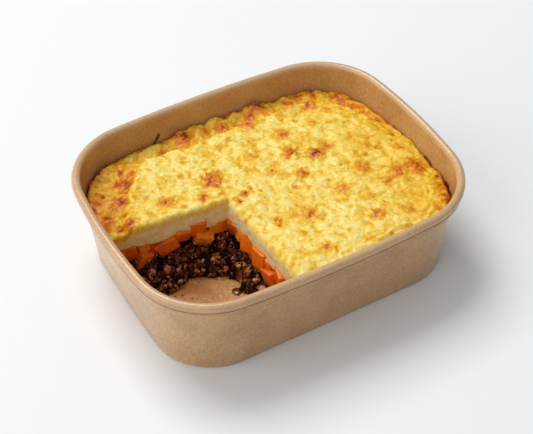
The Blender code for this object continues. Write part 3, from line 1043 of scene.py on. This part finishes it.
def make_mince_crumbs(material):
    """Loose crumbs on the slope, and small ones strewn on the floor beyond it."""
    draw = random.Random(5)
    crumbs = []
    for pitch, sparse, small, large in CRUMB_TIERS:
        for place in spill_sites(draw, pitch, sparse):
            place.z += draw.uniform(0.0, 0.8)
            radius = draw.uniform(small, large)
            if inside_wall(*place, BOARD + 0.4 + radius):
                crumbs.append((place, radius))
    for _ in range(FLOOR_CRUMBS):
        x, y = draw.uniform(-62, -27), draw.uniform(-40, -8)
        radius = draw.uniform(0.15, 0.4)
        if in_portion(x, y, 4.0) and inside_wall(x, y, FLOOR_TOP, 5.0):
            crumbs.append((Vector((x, y, FLOOR_TOP + 0.5 * radius)), radius))

    # A bmesh operator slows down as the mesh grows, so the crumbs are made a few at a time.
    bm = bmesh.new()
    for start in range(0, len(crumbs), CRUMB_BATCH):
        batch = bmesh.new()
        batch.verts.layers.float.new("tone")
        for centre, radius in crumbs[start:start + CRUMB_BATCH]:
            add_crumb(batch, draw, centre, radius)
        mesh = bpy.data.meshes.new("crumb_batch")
        batch.to_mesh(mesh)
        batch.free()
        bm.from_mesh(mesh)
        bpy.data.meshes.remove(mesh)
    return new_piece("mince_crumbs", bm, material, "mince")


# ------------ herbs, gravy and burnt sauce

HERBS_ON_TOP = 18
HERBS_IN_BACK_FACE = 4
HERBS_IN_RIGHT_FACE = 3
# Pools of gravy on the floor: x, y, radius.
GRAVY_POOLS = ((-30.0, -22.8, 2.6), (-27.2, -30.0, 2.4), (-24.5, -36.0, 2.2))
# Burnt sauce on the wall: first and last turn, lowest and highest edge, raggedness, slant.
SAUCE_MARKS = (
    (1.40, 1.84, 30.0, 33.6, 1.6, 0.0), (3.56, 3.82, 31.5, 35.0, 1.6, 0.0),
    (1.228, 1.237, 33.0, 38.6, 0.6, -0.03), (3.84, 3.90, 33.0, 35.4, 0.8, 0.0),
)


def add_flake(bm, draw, centre, normal, size):
    """A thin curled flake lying against a surface."""
    facing = normal.to_track_quat("Z", "Y").to_matrix().to_4x4()
    spun = Matrix.Rotation(draw.uniform(0, math.tau), 4, "Z")
    shape = Matrix.Diagonal((size, size * draw.uniform(0.35, 0.6), 0.14, 1.0))
    place = Matrix.Translation(centre) @ facing @ spun @ shape
    flake = bmesh.ops.create_icosphere(bm, subdivisions=1, radius=1.0, matrix=place)["verts"]
    for vert in flake:
        vert.co += 0.2 * size * Vector([grain_3d(vert.co, size, seed) for seed in (5.0, 6.0, 7.0)])


def make_herbs(material, mash):
    """Herb flakes on the mash and in its cut faces."""
    draw = random.Random(11)
    bm = bmesh.new()
    for _ in range(HERBS_ON_TOP):
        x, y = draw.uniform(-72, 74), draw.uniform(-52, 56)
        hit, place, normal, _ = mash.ray_cast(Vector((x * MM, y * MM, 0.1)), Vector((0, 0, -1)))
        if hit and not in_portion(x, y, -4.0):
            add_flake(bm, draw, place / MM, normal, draw.uniform(0.3, 0.6))
    for _ in range(HERBS_IN_BACK_FACE):
        x, z = draw.uniform(-70, -26), draw.uniform(29, 34)
        add_flake(bm, draw, Vector((x, back_face(x), z)), Vector((0, -1, 0)), draw.uniform(0.35, 0.65))
    for _ in range(HERBS_IN_RIGHT_FACE):
        y, z = draw.uniform(-44, -2), draw.uniform(28, 33)
        add_flake(bm, draw, Vector((right_face(y), y, z)), Vector((-1, 0, 0)), draw.uniform(0.35, 0.6))
    return new_piece("herb_flakes", bm, material, "mash")


def make_gravy(material):
    """Thin pools of gravy at the foot of the mince."""
    draw = random.Random(3)
    bm = bmesh.new()
    for x, y, radius in GRAVY_POOLS:
        place = Matrix.Translation((x, y, FLOOR_TOP + 0.05))
        pool = bmesh.ops.create_cone(
            bm, cap_ends=True, segments=48, radius1=radius, radius2=radius * 0.92, depth=0.4, matrix=place)
        seed = draw.uniform(0, 40)
        for vert in pool["verts"]:
            away = vert.co - place.translation
            vert.co.xy += away.xy * 0.5 * noise.noise(Vector((away.x / 2.0, away.y / 2.0, seed)))
    return new_piece("gravy_pools", bm, material, "mince")


def make_burnt_sauce(material):
    """Thin ragged films of sauce that boiled up the wall and burnt on, one for each mark."""
    bm = bmesh.new()
    for start, end, low, high, ragged, slant in SAUCE_MARKS:
        columns = max(round((end - start) * 260), 8)
        film = bmesh.ops.create_grid(bm, x_segments=columns, y_segments=8, size=0.5)["verts"]
        for vert in film:
            share, up = min(max(vert.co.x + 0.5, 0.0), 1.0), vert.co.y + 0.5
            turn = mix(start, end, share)
            uneven = noise.noise(Vector((turn * 30.0, 7.0, 1.0)))
            uneven += 0.5 * noise.noise(Vector((turn * 90.0, 3.0, 4.0)))
            fade = math.sin(math.pi * share) ** 0.5
            z = mix(low, high + ragged * uneven - 2.0 * (1.0 - fade), up)
            bubble = max(noise.noise(Vector((turn * 60.0, z / 1.2, 9.0))), 0.0)
            vert.co = outline(turn + slant * up, z, BOARD + 0.1 + 0.6 * bubble * (1.0 - up * up))[0]
        faces = {face for vert in film for face in vert.link_faces}
        bmesh.ops.solidify(bm, geom=list(faces), thickness=0.12)
    return new_piece("burnt_sauce", bm, material, "mash")


# ------------ setting

CAMERA_PLACE = Vector((-0.21517, -0.37774, 0.44027))
CAMERA_AIM = Vector((-0.0034, -0.0043, 0.0247))
CAMERA_LENS = 85.2
CAMERA_ROLL = math.radians(-0.55)
LIGHT_AIM = Vector((0.0, 0.0, 0.02))
LIGHT_TINT = (1.0, 0.99, 0.97)
SURROUNDINGS_TINT = (0.96, 0.98, 1.0, 1.0)
SURROUNDINGS_STRENGTH = 0.36


def make_floor():
    """A plain pale table."""
    bm = bmesh.new()
    bmesh.ops.create_grid(bm, x_segments=2, y_segments=2, size=2.5)
    mesh = bpy.data.meshes.new("table")
    bm.to_mesh(mesh)
    bm.free()
    table = bpy.data.objects.new("table", mesh)
    bpy.context.scene.collection.objects.link(table)
    paint = Finish("pale_table", 0.6, specular=0.2)
    table.data.materials.append(paint.finish(colour(243, 246, 249)))


def add_light(name, place, size, power):
    """A large soft panel of light aimed at the tray."""
    data = bpy.data.lights.new(name, "AREA")
    data.shape = "SQUARE"
    data.size = size
    data.energy = power
    data.color = LIGHT_TINT
    lamp = bpy.data.objects.new(name, data)
    lamp.location = place
    lamp.rotation_euler = (LIGHT_AIM - Vector(place)).to_track_quat("-Z", "Y").to_euler()
    bpy.context.scene.collection.objects.link(lamp)


def make_lights():
    """A soft key from behind, a low panel at the left, and pale surroundings."""
    add_light("key", (-0.18, 1.0, 1.85), size=1.1, power=27.0)
    add_light("left panel", (-1.80, 0.05, 0.95), size=2.2, power=20.0)
    world = bpy.data.worlds.new("surroundings")
    bpy.context.scene.world = world
    world.use_nodes = True
    background = world.node_tree.nodes["Background"]
    background.inputs["Color"].default_value = SURROUNDINGS_TINT
    background.inputs["Strength"].default_value = SURROUNDINGS_STRENGTH


def make_camera():
    """A long lens from the front left, looking down at the tray."""
    data = bpy.data.cameras.new("camera")
    data.lens = CAMERA_LENS
    data.sensor_width = 36.0
    data.clip_start = 0.01
    data.clip_end = 20.0
    camera = bpy.data.objects.new("camera", data)
    camera.location = CAMERA_PLACE
    aimed = (CAMERA_AIM - CAMERA_PLACE).to_track_quat("-Z", "Y").to_matrix()
    camera.rotation_euler = (aimed @ Matrix.Rotation(CAMERA_ROLL, 3, "Z")).to_euler()
    bpy.context.scene.collection.objects.link(camera)
    bpy.context.scene.camera = camera
    bpy.context.scene.view_settings.view_transform = "Standard"


def main():
    """Make every piece, then the setting round them."""
    make_tray_wall(kraft_outside())
    make_tray_base(kraft_floor())
    mash = make_mash(mash_finish())
    crumb_tones = (colour(38, 12, 6), colour(122, 58, 30), colour(208, 152, 102))
    core_tones = (colour(24, 7, 3), colour(92, 40, 20), colour(168, 106, 64))
    make_carrot_core(mince_finish("gravy_carrot", 0.05, *core_tones))
    make_carrot_dice(carrot_finish())
    make_mince_core(mince_finish("mince_body", 0.05, *core_tones))
    make_mince_crumbs(mince_finish("mince_crumb", 0.25, *crumb_tones))
    make_gravy(gravy_finish())
    make_burnt_sauce(burnt_finish())
    make_herbs(herb_finish(), mash)
    make_floor()
    make_lights()
    make_camera()


main()
